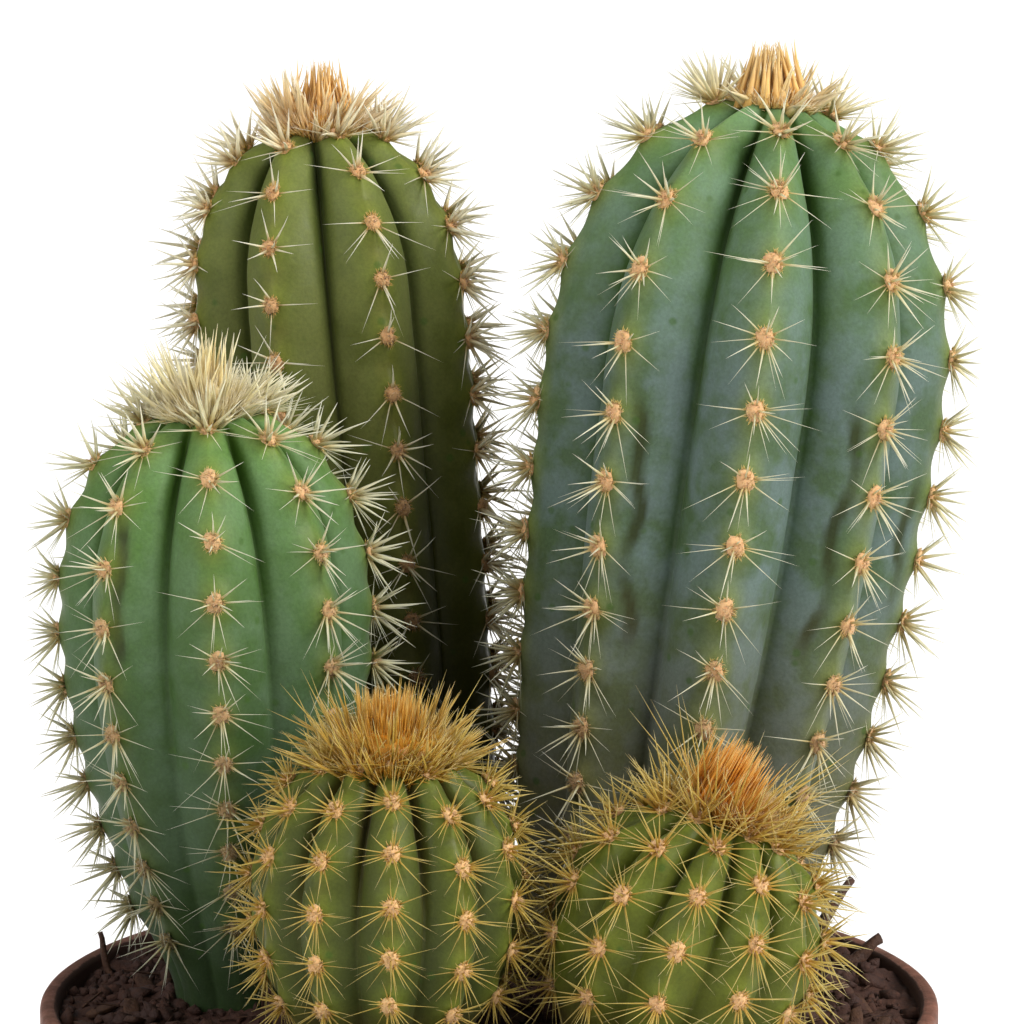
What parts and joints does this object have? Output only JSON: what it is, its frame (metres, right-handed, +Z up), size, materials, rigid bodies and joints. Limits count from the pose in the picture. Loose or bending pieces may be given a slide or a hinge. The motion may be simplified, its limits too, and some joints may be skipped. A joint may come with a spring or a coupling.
{
  "type": "potted columnar cactus",
  "caption": "Ribbed columnar cactus stems of different heights with spined areoles and crown tufts, standing in soil in a round tapered nursery pot.",
  "frame": {"origin": "centre of the pot's flat underside", "axes": "+Z up along the pot's axis, -Y towards the viewer of the picture, +X to the viewer's right"},
  "size_m": [0.1281, 0.1245, 0.2311],
  "materials": {
    "pot_plastic": "satin",
    "soil": "rough",
    "flesh_tall_right": "waxy",
    "flesh_tall_back": "waxy",
    "flesh_left": "waxy",
    "flesh_small_left": "waxy",
    "flesh_small_right": "waxy",
    "spines_tall_right": "matte",
    "spines_tall_back": "matte",
    "spines_left": "matte",
    "spines_small_left": "matte",
    "spines_small_right": "matte"
  },
  "bodies": {
    "root": {"pot": "pot_plastic", "soil": "soil", "stem_tall_right": "flesh_tall_right", "stem_tall_back": "flesh_tall_back", "stem_left": "flesh_left", "stem_small_left": "flesh_small_left", "stem_small_right": "flesh_small_right", "crown_tall_right": "spines_tall_right", "crown_tall_back": "spines_tall_back", "crown_left": "spines_left", "crown_small_left": "spines_small_left", "crown_small_right": "spines_small_right"}
  },
  "joints": []
}
